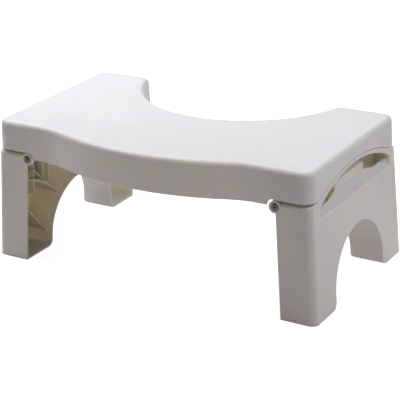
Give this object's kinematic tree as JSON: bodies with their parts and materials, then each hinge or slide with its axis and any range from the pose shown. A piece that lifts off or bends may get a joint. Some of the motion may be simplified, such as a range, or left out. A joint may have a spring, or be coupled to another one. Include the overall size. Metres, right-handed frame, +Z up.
{
  "type": "toilet footstool",
  "caption": "Low footstool with a round toilet notch in its deck and hollow arched legs that fold flat underneath on screw hinges.",
  "frame": {"origin": "on the floor, under the middle of the stool's outer box", "axes": "+X to the stool's right, along its length; +Y to the back, where the notch is; +Z up"},
  "size_m": [0.4452, 0.2632, 0.178],
  "materials": {
    "deck_plastic": "satin",
    "leg_plastic": "satin",
    "screw_steel": "dull"
  },
  "bodies": {
    "deck": {"deck": "deck_plastic", "front_left_screw": "screw_steel", "rear_left_screw": "screw_steel", "front_right_screw": "screw_steel", "rear_right_screw": "screw_steel"},
    "left_leg": {"left_leg": "leg_plastic"},
    "right_leg": {"right_leg": "leg_plastic"}
  },
  "joints": [
    {"name": "left_leg_fold", "type": "hinge", "parent": "deck", "child": "left_leg", "pos_m": [-0.1694, 0.0113, 0.1333], "axis": [0, -1, 0], "range_deg": [0, 90]},
    {"name": "right_leg_fold", "type": "hinge", "parent": "deck", "child": "right_leg", "pos_m": [0.1694, 0.0113, 0.1333], "axis": [0, 1, 0], "range_deg": [0, 90]}
  ]
}
